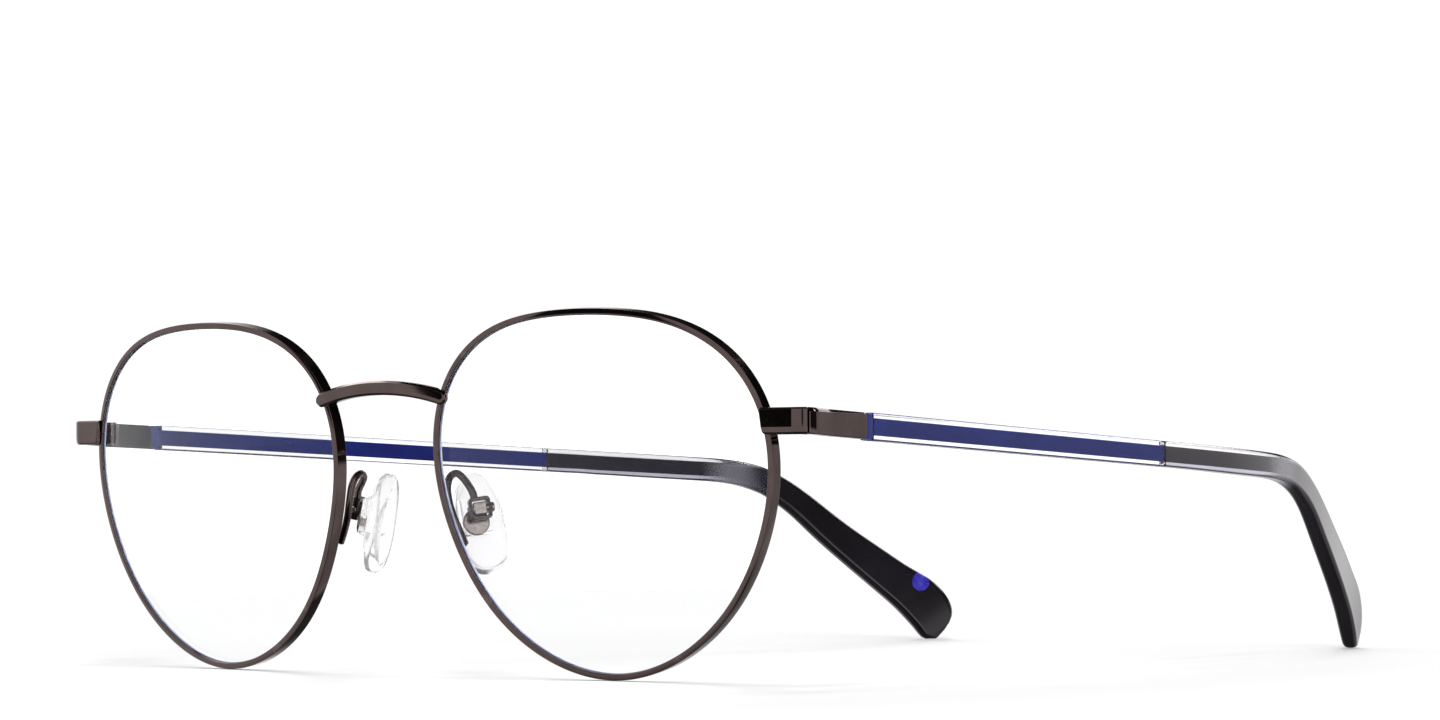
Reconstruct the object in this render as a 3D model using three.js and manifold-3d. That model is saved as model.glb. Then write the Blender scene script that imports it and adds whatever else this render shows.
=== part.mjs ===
// Round wire eyeglasses, modelled in millimetres, +Z up.
// Lens fronts face -Y, the temples run back along +Y, the wearer's left is +X.
// The glasses stand on the lower edges of the rims and on the ends of the temple tips.
import * as THREE from 'three';
import { mergeVertices } from 'three/addons/utils/BufferGeometryUtils.js';
import Module from 'manifold-3d';

const wasm = await Module();
wasm.setup();

// ---------------------------------------------------------------- driving dimensions
const SHIFT_Y = -73.017;       // puts the origin under the middle of the bounding box
const HALF = 33.75;            // lens centre from the middle plane
const ZC = 21.06;              // lens centre height
const WRAP = 5.4395;           // degrees, outer side of each lens turned back
const TILT = 6.9883;           // degrees, top of each lens leaning forward
const INV_R = 0.00882;         // 1 / base-curve radius of lens and rim
const R0 = 23.1985;            // mean radius of the rim centre line
const COS = [0.0981, 1.563, 0.0902, -0.2851, 0.0445, -0.0895];
const SIN = [1.5026, -0.178, 1.2156, -0.0295, 0.0637, -0.0045];
const RIM_W = 0.76;            // rim, radial
const RIM_D = 1.45;            // rim, front to back
const LENS_T = 1.15;
const EP_H = 3.1;              // endpiece height
const EP_T = 1.25;             // endpiece thickness
const TEMPLE_H = 3.06;
const PLATE_T = 1.25;
const SLEEVE_H = 3.2;
const SLEEVE_T = 2.0;
const CORE_H = 2.0;
const CORE_T = 0.85;
const HINGE = [60.9, 9.2];     // hinge axis, plan position
const BARREL_R = 1.05;
const SEG = 48;                // facets round a lens
const G = 0.08;                // working gap between neighbouring solids

const rad = (d) => d * Math.PI / 180;
const V = (x, y, z) => new THREE.Vector3(x, y, z);

// ---------------------------------------------------------------- materials
const metal = (c, r = 0.25) => new THREE.MeshStandardMaterial({ color: c, roughness: r, metalness: 1 });
const plastic = (c, r, o = 1) => new THREE.MeshStandardMaterial({ color: c, roughness: r, metalness: 0, transparent: o < 1, opacity: o });
const MAT = {
  gunmetal: metal(0x5e5350, 0.2),
  steel: metal(0x9a9490, 0.3),
  lens: plastic(0xf4f6fa, 0.03, 0.25),
  blue: metal(0x2a3578, 0.3),
  clear: plastic(0xf2f2f5, 0.05, 0.35),
  smoke: plastic(0x2c292e, 0.15, 0.85),
  inlay: plastic(0x3a2fa0, 0.3),
  silicone: plastic(0xf5f5f5, 0.2, 0.45),
};

// ---------------------------------------------------------------- geometry helpers
function clean(geo) {
  const g = geo.clone();
  for (const n of Object.keys(g.attributes)) if (n !== 'position') g.deleteAttribute(n);
  return mergeVertices(g, 1e-5);
}
function signedVolume(g) {
  const p = g.attributes.position, ix = g.index.array; let v = 0;
  const a = V(0, 0, 0), b = V(0, 0, 0), c = V(0, 0, 0);
  for (let i = 0; i < ix.length; i += 3) {
    a.fromBufferAttribute(p, ix[i]); b.fromBufferAttribute(p, ix[i + 1]); c.fromBufferAttribute(p, ix[i + 2]);
    v += a.dot(b.cross(c)) / 6;
  }
  return v;
}
function outward(g) {
  if (signedVolume(g) < 0) {
    const ix = g.index.array;
    for (let i = 0; i < ix.length; i += 3) { const t = ix[i]; ix[i] = ix[i + 1]; ix[i + 1] = t; }
  }
  return g;
}
const solid = (geo) => outward(clean(geo));
function toM(g) {
  const s = solid(g);
  return new wasm.Manifold(new wasm.Mesh({ numProp: 3, vertProperties: new Float32Array(s.attributes.position.array), triVerts: new Uint32Array(s.index.array) }));
}
function fromM(m) {
  const k = m.getMesh(), n = k.numProp, cnt = k.vertProperties.length / n, pos = new Float32Array(cnt * 3);
  for (let i = 0; i < cnt; i++) for (let j = 0; j < 3; j++) pos[3 * i + j] = k.vertProperties[n * i + j];
  const g = new THREE.BufferGeometry();
  g.setAttribute('position', new THREE.BufferAttribute(pos, 3));
  g.setIndex(new THREE.BufferAttribute(new Uint32Array(k.triVerts), 1));
  return g;
}
const minus = (a, ...bs) => fromM(bs.reduce((m, b) => m.subtract(toM(b)), toM(a)));
const common = (a, b) => fromM(toM(a).intersect(toM(b)));
const plus = (a, ...bs) => fromM(bs.reduce((m, b) => m.add(toM(b)), toM(a)));
function displace(geo, fn) {
  const g = clean(geo), p = g.attributes.position, v = V(0, 0, 0);
  for (let i = 0; i < p.count; i++) { v.fromBufferAttribute(p, i); const q = fn(v); p.setXYZ(i, q.x, q.y, q.z); }
  return outward(g);
}
const mirrorX = (g) => displace(g, (v) => V(-v.x, v.y, v.z));
// rectangle with cut corners, w along the first axis, h along the second
function chamfered(w, h, c) {
  const a = w / 2, b = h / 2;
  return [[a - c, -b], [a, -b + c], [a, b - c], [a - c, b], [-a + c, b], [-a, b - c], [-a, -b + c], [-a + c, -b]];
}
const ngon = (r, n, ph = 0) => Array.from({ length: n }, (_, i) => [r * Math.cos(ph + 2 * Math.PI * i / n), r * Math.sin(ph + 2 * Math.PI * i / n)]);
// a section carried along stations {o, A, B, sa, sb}: an extrusion whose layers are placed one by one
function loft(section, stations, hole) {
  const sh = new THREE.Shape(section.map((q) => new THREE.Vector2(q[0], q[1])));
  if (hole) sh.holes.push(new THREE.Path(hole.map((q) => new THREE.Vector2(q[0], q[1]))));
  const n = stations.length - 1;
  const g = new THREE.ExtrudeGeometry(sh, { depth: n, steps: n, bevelEnabled: false });
  return displace(g, (v) => {
    const s = stations[Math.round(v.z)];
    return s.o.clone().addScaledVector(s.A, v.x * (s.sa ?? 1)).addScaledVector(s.B, v.y * (s.sb ?? 1));
  });
}
// box between planes of a frame (o, A, B, C), half sizes a, b, c
function frameBox(o, A, B, C, a, b, c) {
  return displace(new THREE.BoxGeometry(2, 2, 2), (v) => o.clone().addScaledVector(A, v.x * a).addScaledVector(B, v.y * b).addScaledVector(C, v.z * c));
}
function frameCyl(o, axis, ref, r, l0, l1, n = 24) {
  const A = axis.clone().normalize(), B = ref.clone().addScaledVector(A, -ref.dot(A)).normalize(), C = A.clone().cross(B);
  return displace(new THREE.CylinderGeometry(r, r, 1, n), (v) => o.clone().addScaledVector(A, l0 + (v.y + 0.5) * (l1 - l0)).addScaledVector(B, v.x).addScaledVector(C, v.z));
}
// round wire along points
function wire(points, r, steps, sides = 10) {
  const curve = new THREE.CatmullRomCurve3(points.map((p) => V(...p)), false, 'centripetal');
  const sh = new THREE.Shape(ngon(r, sides).map((q) => new THREE.Vector2(q[0], q[1])));
  return solid(new THREE.ExtrudeGeometry(sh, { steps, extrudePath: curve, bevelEnabled: false }));
}
const at = (pts, t) => { // linear reading of a table [[t, a, b, ...], ...]
  let i = 1; while (i < pts.length - 1 && pts[i][0] < t) i++;
  const p = pts[i - 1], q = pts[i], k = (t - p[0]) / (q[0] - p[0]);
  return p.map((x, j) => x + (q[j] - x) * k).slice(1);
};

// ---------------------------------------------------------------- the lens outline
function radius(f) {
  let r = R0;
  for (let k = 1; k <= 6; k++) r += COS[k - 1] * Math.cos(k * f) + SIN[k - 1] * Math.sin(k * f);
  return r;
}
const ct = Math.cos(rad(TILT)), st = Math.sin(rad(TILT)), cw = Math.cos(rad(WRAP)), sw = Math.sin(rad(WRAP));
// lens space (u towards the temple, v up, d back) to the wearer's left side of the object
function place(u, v, d) {
  const y = d + (u * u + v * v) * INV_R / 2;
  const y1 = y * ct - v * st, z1 = y * st + v * ct;
  return V(HALF + u * cw - y1 * sw, u * sw + y1 * cw, ZC + z1);
}
// closed or axial profile [radius, depth] turned round the lens axis and drawn out to the outline
function turned(profile, closed) {
  const pts = profile.map((q) => new THREE.Vector2(q[0], q[1]));
  if (closed) pts.push(pts[0].clone());
  const g = new THREE.LatheGeometry(pts, SEG);
  return displace(g, (v) => {
    const f = Math.atan2(v.z, v.x), rho = Math.hypot(v.x, v.z), k = radius(f) / R0;
    return place(rho * k * Math.cos(f), rho * k * Math.sin(f), v.y);
  });
}
const ro = R0 + RIM_W / 2, ri = R0 - RIM_W / 2;
const rimProfile = [[ri, 0.05], [ri, 0.40], [ri + 0.24, 0.72], [ri, 1.04], [ri, RIM_D], [ro - 0.14, RIM_D], [ro, RIM_D - 0.16], [ro, 0.16], [ro - 0.14, 0], [ri + 0.08, 0]];
const rimEnvelope = [[ri - G, -0.06], [ri - G, RIM_D + G], [ro + G, RIM_D + G], [ro + G, -0.06]];
const lensProfile = [[0, 0.42], [8, 0.42], [16, 0.42], [ri - 0.06, 0.42], [ri + 0.13, 0.72], [ri - 0.06, 1.02], [ri - 0.06, 0.42 + LENS_T], [16, 0.42 + LENS_T], [8, 0.42 + LENS_T], [0, 0.42 + LENS_T]];

const SPLIT_Z = 29.95;
const rimWhole = turned(rimProfile, true);
const rimKeep = turned(rimEnvelope, true);
const lensKeep = turned([[0, 0.3], [ri, 0.3], [ri, 2.2], [0, 2.2]], false);
const rim = minus(rimWhole, new THREE.BoxGeometry(4, 6, 0.14).translate(57.9, 4.8, SPLIT_Z));
const lens = turned(lensProfile, false);

// ---------------------------------------------------------------- bridge
// curved bar over the nose, its round ends lapping the fronts of both rims
const bridgeStations = [];
{
  const n = 20, X1 = 11.35;
  for (let i = 0; i <= n; i++) {
    const x = -X1 + 2 * X1 * i / n;
    const y = -1.5 + 0.0032 * x * x, z = 34.66 - 0.01123 * x * x - 7.8e-6 * x ** 4;
    const T = V(1, 0.0064 * x, -0.02246 * x - 3.1e-5 * x ** 3).normalize();
    const B = V(0, 1, 0).addScaledVector(T, -T.y).normalize(), A = T.clone().cross(B).negate();
    const e = Math.max(0, Math.abs(x) - (X1 - 0.85)) / 0.85;
    bridgeStations.push({ o: V(x, y + 0.62, z), A, B, sa: Math.sqrt(Math.max(0.12, 1 - e * e)), sb: 1 });
  }
}
const bridge = minus(loft(chamfered(1.76, 1.24, 0.26), bridgeStations), rimKeep, lensKeep, mirrorX(rimKeep), mirrorX(lensKeep));

// ---------------------------------------------------------------- endpiece: front leg, rounded corner, short return
// outer face in plan: straight leg at 7.8 degrees, then a 2.29 mm corner turning on to the temple line
const EP_A = 7.8, EP_L = 4.30, EP_R = 2.29, EP_END = 97, EP_S = [57.91, 3.56];
const epF = [EP_S[0] + EP_L * Math.cos(rad(EP_A)), EP_S[1] + EP_L * Math.sin(rad(EP_A))];
const epPoint = (a) => [epF[0] + EP_R * (Math.sin(rad(a)) - Math.sin(rad(EP_A))), epF[1] + EP_R * (Math.cos(rad(EP_A)) - Math.cos(rad(a)))];
const SEAM = 61;               // corner angle where the temple takes over
// section axis A is up, B points from the outer face inwards, origin on the outer face
const planStation = (p, a, z, t, tilt = 0) => ({ o: V(p[0], p[1], z), A: V(0, -tilt, 1), B: V(-Math.sin(rad(a)), Math.cos(rad(a)), 0), sa: 1, sb: t / EP_T });
const epSection = chamfered(EP_H, EP_T, 0.22).map((q) => [q[0], q[1] + EP_T / 2]);
const epStations = [];
for (const s of [0, 0.4, 1.0, 2.6, 4.3]) {
  const p = [EP_S[0] + s * Math.cos(rad(EP_A)), EP_S[1] + s * Math.sin(rad(EP_A))];
  epStations.push(planStation(p, EP_A, SPLIT_Z, EP_T, 0.06 * Math.max(0, 1 - s / 1.5)));
}
for (const a of [18, 28, 38, 48, SEAM - 2.2]) epStations.push(planStation(epPoint(a), a, SPLIT_Z, EP_T));
const endpiece = minus(loft(epSection, epStations), rimKeep);

// ---------------------------------------------------------------- temple line
const lineX = (y) => { const s = Math.max(0, y - 81.2); return 62.8 - 0.1162 * (y - 16.64) - 0.000968 * s * s - 2.026e-5 * s ** 3; };
const lineDir = (y) => { const s = Math.max(0, y - 81.2); return Math.atan2(1, -0.1162 - 2 * 0.000968 * s - 3 * 2.026e-5 * s * s) / Math.PI * 180; };
const midZ = (y) => 29.4 - 0.0485 * (y - 16.64);
const templeStation = (y, extra = 0) => { const a = lineDir(y); const s = planStation([lineX(y), y], a, midZ(y), EP_T); s.o.addScaledVector(s.B, extra); return s; };

// ---------------------------------------------------------------- rim lock: two blocks behind the front leg, one screw
const lockUpper0 = new THREE.BoxGeometry(2.3, 1.9, 1.32).translate(60.35, 6.2, SPLIT_Z + 0.07 + 0.66);
const lockLower0 = new THREE.BoxGeometry(2.3, 1.9, 1.32).translate(60.35, 6.2, SPLIT_Z - 0.07 - 0.66);
const epKeep = loft(epSection.map((q) => [q[0] * 1.06, q[1] * 1.12 - 0.07]), epStations);
const lockScrewAt = V(60.55, 6.25, 0);
const screwHole = frameCyl(lockScrewAt, V(0, 0, 1), V(1, 0, 0), 0.42, 27, 33, 20);
const headHole = frameCyl(lockScrewAt, V(0, 0, 1), V(1, 0, 0), 0.72, 31.0, 33, 20);
const rimLockUpper = minus(lockUpper0, rimKeep, epKeep, screwHole, headHole);
const rimLockLower = minus(lockLower0, rimKeep, epKeep, screwHole);
const rimScrew = plus(frameCyl(lockScrewAt, V(0, 0, 1), V(1, 0, 0), 0.36, 28.7, 31.2, 20), minus(frameCyl(lockScrewAt, V(0, 0, 1), V(1, 0, 0), 0.64, 31.1, 31.42, 20), new THREE.BoxGeometry(0.2, 2, 0.3).translate(60.55, 6.25, 31.45)));

// ---------------------------------------------------------------- hinge: two front knuckles, one temple knuckle, one screw
const hingeO = V(HINGE[0], HINGE[1], 0), UP = V(0, 0, 1), RX = V(1, 0, 0);
const KZ = [28.42, 29.22, 29.3, 30.1, 30.18, 30.98];
const bore = frameCyl(hingeO, UP, RX, 0.5, 27, 33, 20);
const box = (x0, x1, y0, y1, z0, z1) => new THREE.BoxGeometry(x1 - x0, y1 - y0, z1 - z0).translate((x0 + x1) / 2, (y0 + y1) / 2, (z0 + z1) / 2);
let hingeFront = plus(
  box(61.58, 62.2, 5.3, 8.05, 28.45, 31.36),
  frameCyl(hingeO, UP, RX, BARREL_R, KZ[0], KZ[1], 20), frameCyl(hingeO, UP, RX, BARREL_R, KZ[4], KZ[5], 20),
  box(61.3, 62.2, 7.9, 9.2, KZ[0], KZ[1]), box(61.3, 62.2, 7.9, 9.2, KZ[4], KZ[5]));
hingeFront = minus(hingeFront, bore, epKeep, frameCyl(hingeO, UP, RX, BARREL_R + 0.12, KZ[1], KZ[4], 20));
let hingeTemple = plus(
  loft(chamfered(2.66, 0.8, 0.12).map((q) => [q[0], q[1] + PLATE_T + G + 0.4]), [10.45, 12.8, 15.2].map((y) => templeStation(y))),
  frameCyl(hingeO, UP, RX, BARREL_R, KZ[2], KZ[3], 20),
  box(61.2, 62.05, 9.2, 10.7, KZ[2], KZ[3]));
hingeTemple = minus(hingeTemple, bore);
const hingeScrew = plus(frameCyl(hingeO, UP, RX, 0.44, 28.47, 31.12, 20), minus(frameCyl(hingeO, UP, RX, 0.82, KZ[5] + G, KZ[5] + G + 0.26, 20), box(60.8, 61.0, 8, 10.5, KZ[5] + G + 0.13, 33)));

// ---------------------------------------------------------------- temple pieces
// metal front section
const plateStations = [];
for (const a of [SEAM + 2.2, 72, 84, 95]) { const p = epPoint(a); plateStations.push({ ...planStation(p, a, midZ(p[1]) + 0.02, PLATE_T) }); }
for (const y of [8.2, 11, 14, 16.55]) plateStations.push(templeStation(y));
const templePlate = loft(chamfered(TEMPLE_H, PLATE_T, 0.22).map((q) => [q[0], q[1] + PLATE_T / 2]), plateStations);

// coloured core: full-height shoulder, then a flat strip that runs inside both sleeves
const corner = (h, t, c, off) => chamfered(h, t, c).map((q) => [q[0], q[1] + off]);
const coreYs = [16.64, 17.62, 30, 50, 70, 81.2, 90, 99, 108, 116.5];
const shoulder = loft(corner(TEMPLE_H, PLATE_T, 0.2, PLATE_T / 2), [16.64, 17.62].map((y) => templeStation(y)));
const strip = loft(corner(CORE_H, CORE_T, 0.15, SLEEVE_T / 2), coreYs.slice(0).map((y, i) => templeStation(i ? y : 17.2)).filter((_, i) => i !== 1));
const templeCore = plus(shoulder, strip);
const coreKeepSection = corner(CORE_H + 0.2, CORE_T + 0.2, 0.05, SLEEVE_T / 2);

// clear sleeve
const sleeveYs = [17.72, 30, 50, 70, 81.12];
const templeSleeve = loft(corner(SLEEVE_H, SLEEVE_T, 0.3, SLEEVE_T / 2), sleeveYs.map((y) => templeStation(y)), coreKeepSection);

// tip sleeve: side outline as pairs (lower edge y, z, upper edge y, z), thickness, position on the temple line
const tipPairs = [
  [81.26, 24.67, 81.26, 27.87, 2.0], [90, 24.22, 90, 27.47, 2.05], [99, 23.72, 99, 27.02, 2.1], [107, 23.3, 107.2, 26.6, 2.15],
  [112.6, 22.85, 113.6, 26.12, 2.2], [116.6, 22.0, 118.9, 25.05, 2.25], [120.2, 20.55, 123.1, 23.2, 2.3], [123.6, 18.35, 126.9, 20.75, 2.35],
  [127.0, 15.4, 130.6, 18.0, 2.4], [130.6, 12.35, 134.6, 15.2, 2.45], [134.0, 9.55, 138.5, 12.6, 2.45], [137.2, 6.9, 142.0, 10.3, 2.45],
  [139.8, 4.6, 144.9, 8.5, 2.45], [141.6, 2.7, 146.8, 6.5, 2.4], [142.7, 1.4, 147.6, 5.0, 2.3], [143.4, 0.5, 147.8, 3.8, 2.15], [144.1, 0, 147.5, 2.6, 1.95], [144.8, 0, 146.7, 1.3, 1.6], [145.4, 0, 145.8, 0.35, 1.2]];
const tipStations = tipPairs.map(([yb, zb, yt, zt, t]) => {
  const ym = (yb + yt) / 2, a = lineDir(Math.min(ym, 150));
  const pb = V(lineX(yb), yb, zb), pt = V(lineX(yt), yt, zt);
  const A = pt.clone().sub(pb), h = A.length();
  const B = V(-Math.sin(rad(a)), Math.cos(rad(a)), 0), inset = yb > 140 ? (2.45 - t) / 2 : 0; // foot thins from both faces
  return { o: pb.add(pt).multiplyScalar(0.5).addScaledVector(B, inset), A: A.normalize(), B, sa: h / 3.2, sb: t / 2.0 };
});
const tipOuter = loft(corner(3.2, 2.0, 0.42, 1.0), tipStations);
const inlayY = 143.0, inlayP = V(lineX(inlayY), inlayY, 8.4);
const inlayN = V(-Math.sin(rad(lineDir(inlayY))), Math.cos(rad(lineDir(inlayY))), 0);
const inlayZ = UP, pocket = frameCyl(inlayP, inlayN, UP, 1.45, 1.9, 4, 20);
const corePocket = loft(coreKeepSection, [80, 90, 99, 108, 116.7].map((y) => templeStation(y)));
const tipSleeve = minus(tipOuter, corePocket, pocket);
const tipInlay = common(frameCyl(inlayP, inlayN, UP, 1.36, 1.98, 3.2, 20), tipOuter); // upper side follows the tip's edge

// ---------------------------------------------------------------- nose pad, its carrier and its arm
const PL = V(-0.248, -0.008, 0.969).normalize();
const PM = V(0.472, 0.873, 0.128).addScaledVector(PL, -V(0.472, 0.873, 0.128).dot(PL)).normalize();
const PN = PL.clone().cross(PM);              // towards the nose
const PC = V(8.95, 7.6, 18.3);
const padAt = (l, m, n) => PC.clone().addScaledVector(PL, l).addScaledVector(PM, m).addScaledVector(PN, n);
const PAD_OUT = []; // outline in (l, m): longer straight rear side, fuller lower end
for (let i = 0; i < 28; i++) {
  const t = 2 * Math.PI * i / 28, c = Math.cos(t), s = Math.sin(t);
  const l = 6.2 * Math.sign(c) * Math.pow(Math.abs(c), 0.92);
  PAD_OUT.push([l, 3.1 * Math.sign(s) * Math.pow(Math.abs(s), 0.85) * (1 - 0.018 * l)]);
}
const padBody = loft(PAD_OUT, [[-1.05, 0.90], [-0.55, 1], [0.35, 1], [0.85, 0.93], [1.05, 0.84]].map(([n, s]) => ({ o: padAt(0, 0, n), A: PL, B: PM, sa: s * 0.985 + 0.015, sb: s })));
const bossC = [1.1, -0.5];
const BOX = [1.36, 1.3, 0.55]; // carrier box, half sizes along the pad, across it and through it
const boss = frameBox(padAt(0.75, -0.75, -1.45), PL, PM, PN, 2.3, 1.8, 0.6);
const capAt = padAt(-0.1, -0.95, 0);
const cap = (g) => frameCyl(capAt, PN, PL, 1.62 + g, g ? -3 : -2.3, -1.98 + g, 24);
const stem = (g) => frameCyl(capAt, PN, PL, 0.6 + g, -2.1, -1.2 + g, 16);
const flange = (g) => frameCyl(capAt, PN, PL, 1.15 + g, -1.35 - g, -1.05 + g, 20);
const lug = frameBox(padAt(bossC[0] + 0.2, bossC[1], -2.805), PL, PM, PN, 0.76, 0.82, 0.705);
const boxC = padAt(bossC[0] + 0.2, bossC[1], -3.15);
const PAD_SCREW_R = 0.34;
const screwBore = (g) => frameCyl(boxC, PM, PL, PAD_SCREW_R + g, -3, 3, 16);
const nosePad = minus(plus(padBody, boss), cap(0.06), stem(0.06), flange(0.06));
const padInsert = minus(plus(cap(0), stem(0), flange(0), lug), screwBore(0.06));
const padBox = minus(frameBox(boxC, PL, PM, PN, ...BOX), frameBox(boxC, PL, PM, PN, 0.94, 0.98, 2), screwBore(0.06));
const padScrew = plus(frameCyl(boxC, PM, PL, PAD_SCREW_R, -1.52, 1.5, 16), minus(frameCyl(boxC, PM, PL, 0.6, 1.3 + G, 1.74, 16), frameBox(boxC.clone().addScaledVector(PM, 1.82), PL, PM, PN, 1, 0.2, 0.1)));
const armEnd = padAt(bossC[0] + 0.2 + BOX[0] + G + 0.02, -1.0, -3.15), armPre = padAt(bossC[0] + 0.2 + BOX[0] + 0.95, -1.1, -3.2);
const padArm = minus(wire([[11.35, 2.98, 15.75], [10.42, 2.88, 17.5], [9.62, 2.66, 19.2], [9.02, 2.46, 21.2], [8.7, 2.58, 22.95], [8.6, 3.2, 24.05], [8.68, 4.05, 24.35], [8.92, 4.72, 23.95], armPre.toArray(), armEnd.toArray()], 0.46, 24, 8), rimKeep);

// ---------------------------------------------------------------- assembly
const root = new THREE.Group();
root.position.set(0, SHIFT_Y, 0);
function add(name, geo, material) {
  const m = new THREE.Mesh(solid(geo), material);
  m.name = name;
  root.add(m);
}
function pair(name, geo, material) {
  add(name + '_left', geo, material);
  add(name + '_right', mirrorX(geo), material);
}
pair('rim', rim, MAT.gunmetal);
pair('lens', lens, MAT.lens);
add('bridge', bridge, MAT.gunmetal);
pair('endpiece', endpiece, MAT.gunmetal);
pair('rim_lock_upper', rimLockUpper, MAT.gunmetal);
pair('rim_lock_lower', rimLockLower, MAT.gunmetal);
pair('rim_screw', rimScrew, MAT.steel);
pair('hinge_front', hingeFront, MAT.gunmetal);
pair('hinge_temple', hingeTemple, MAT.gunmetal);
pair('hinge_screw', hingeScrew, MAT.steel);
pair('temple_plate', templePlate, MAT.gunmetal);
pair('temple_core', templeCore, MAT.blue);
pair('temple_sleeve', templeSleeve, MAT.clear);
pair('tip_sleeve', tipSleeve, MAT.smoke);
pair('tip_inlay', tipInlay, MAT.inlay);
pair('pad_arm', padArm, MAT.gunmetal);
pair('pad_box', padBox, MAT.gunmetal);
pair('pad_screw', padScrew, MAT.steel);
pair('nose_pad', nosePad, MAT.silicone);
pair('pad_insert', padInsert, MAT.steel);

export default root;
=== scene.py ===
import math

import bmesh
import bpy
import numpy as np
from mathutils import Matrix, Vector

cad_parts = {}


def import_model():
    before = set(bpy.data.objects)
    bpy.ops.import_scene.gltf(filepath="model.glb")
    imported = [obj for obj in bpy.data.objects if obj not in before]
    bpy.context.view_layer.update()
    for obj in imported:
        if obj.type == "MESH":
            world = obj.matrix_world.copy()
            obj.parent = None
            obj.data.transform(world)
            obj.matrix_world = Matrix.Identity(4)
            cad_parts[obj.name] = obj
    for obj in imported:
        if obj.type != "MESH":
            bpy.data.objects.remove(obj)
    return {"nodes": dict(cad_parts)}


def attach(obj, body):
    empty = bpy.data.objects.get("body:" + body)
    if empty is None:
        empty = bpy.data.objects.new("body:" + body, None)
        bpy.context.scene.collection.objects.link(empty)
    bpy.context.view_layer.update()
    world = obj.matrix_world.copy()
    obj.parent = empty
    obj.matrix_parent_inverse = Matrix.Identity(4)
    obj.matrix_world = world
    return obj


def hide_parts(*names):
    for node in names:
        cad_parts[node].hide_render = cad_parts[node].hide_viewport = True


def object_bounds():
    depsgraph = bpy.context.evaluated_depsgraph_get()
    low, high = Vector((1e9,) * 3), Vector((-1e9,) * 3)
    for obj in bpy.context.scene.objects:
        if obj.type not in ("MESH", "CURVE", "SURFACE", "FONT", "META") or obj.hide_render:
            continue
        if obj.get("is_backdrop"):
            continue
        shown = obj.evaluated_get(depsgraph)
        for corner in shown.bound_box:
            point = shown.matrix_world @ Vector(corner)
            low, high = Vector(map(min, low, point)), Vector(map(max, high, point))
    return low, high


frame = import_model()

BOX_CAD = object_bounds()

# ------------------------------------------------------------------ dimensions, in millimetres, y = 0 at the rim fronts
SHIFT_Y = -73.017
HALF, ZC, WRAP, TILT, INV_R, R0 = 33.75, 21.06, 5.4395, 6.9883, 0.00882, 23.1985
COS = [0.0981, 1.563, 0.0902, -0.2851, 0.0445, -0.0895]
SIN = [1.5026, -0.178, 1.2156, -0.0295, 0.0637, -0.0045]
RIM_W, RIM_D, LENS_T = 0.76, 1.45, 1.15
EP_H, EP_T, TEMPLE_H, PLATE_T = 3.1, 1.25, 3.06, 1.25
SLEEVE_H, SLEEVE_T, CORE_H, CORE_T = 3.2, 2.0, 2.0, 0.85
SPLIT_Z = 29.95
RAD = math.pi / 180
ct, st, cw, sw = math.cos(TILT * RAD), math.sin(TILT * RAD), math.cos(WRAP * RAD), math.sin(WRAP * RAD)


def radius(f):
    r = np.full_like(np.asarray(f, float), R0)
    for k in range(1, 7):
        r = r + COS[k - 1] * np.cos(k * f) + SIN[k - 1] * np.sin(k * f)
    return r


def place(u, v, d):
    y = d + (u * u + v * v) * INV_R / 2
    y1, z1 = y * ct - v * st, y * st + v * ct
    return np.stack([HALF + u * cw - y1 * sw, u * sw + y1 * cw, ZC + z1], -1)


def outline(f, e):
    """Rim centre line pushed out by e along its own normal, in lens space."""
    h = 1e-4
    p = lambda g: np.stack([radius(g) * np.cos(g), radius(g) * np.sin(g)], -1)
    t = p(f + h) - p(f - h)
    t /= np.linalg.norm(t, axis=-1, keepdims=True)
    q = p(f) + np.stack([t[..., 1], -t[..., 0]], -1) * np.asarray(e)[..., None]
    return q[..., 0], q[..., 1]


def lineX(y):
    s = max(0.0, y - 81.2)
    return 62.8 - 0.1162 * (y - 16.64) - 0.000968 * s * s - 2.026e-5 * s ** 3


def lineDir(y):
    s = max(0.0, y - 81.2)
    return math.atan2(1, -0.1162 - 2 * 0.000968 * s - 3 * 2.026e-5 * s * s)


def midZ(y):
    return 29.4 - 0.0485 * (y - 16.64)


# ------------------------------------------------------------------ mesh tools
def unit(v):
    v = np.asarray(v, float)
    return v / np.linalg.norm(v)


def rounded(points, radii, n=4):
    """A closed polygon with each corner turned into an arc of n steps."""
    pts = [np.array(p, float) for p in points]
    if not hasattr(radii, "__len__"):
        radii = [radii] * len(pts)
    out = []
    for i, p in enumerate(pts):
        a, b = pts[i - 1], pts[(i + 1) % len(pts)]
        da, db = a - p, b - p
        la, lb = np.linalg.norm(da), np.linalg.norm(db)
        da, db = da / la, db / lb
        cosang = float(np.clip(da @ db, -1, 1))
        half = math.acos(cosang) / 2
        r = radii[i]
        t = min(r / math.tan(half), 0.49 * la, 0.49 * lb) if r > 0 else 0
        r = t * math.tan(half)
        bis = unit(da + db) if abs(cosang + 1) > 1e-6 else np.array([-da[1], da[0]])
        c = p + bis * (r / math.sin(half))
        s, e = p + da * t - c, p + db * t - c
        a0, a1 = math.atan2(s[1], s[0]), math.atan2(e[1], e[0])
        da_ = (a1 - a0 + math.pi) % (2 * math.pi) - math.pi
        for k in range(n + 1):
            g = a0 + da_ * k / n
            out.append(c + r * np.array([math.cos(g), math.sin(g)]))
    return np.array(out)


def rrect(w, h, r, n=5):
    a, b = w / 2, h / 2
    return rounded([(a, -b), (a, b), (-a, b), (-a, -b)], min(r, 0.98 * min(a, b)), n)


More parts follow.
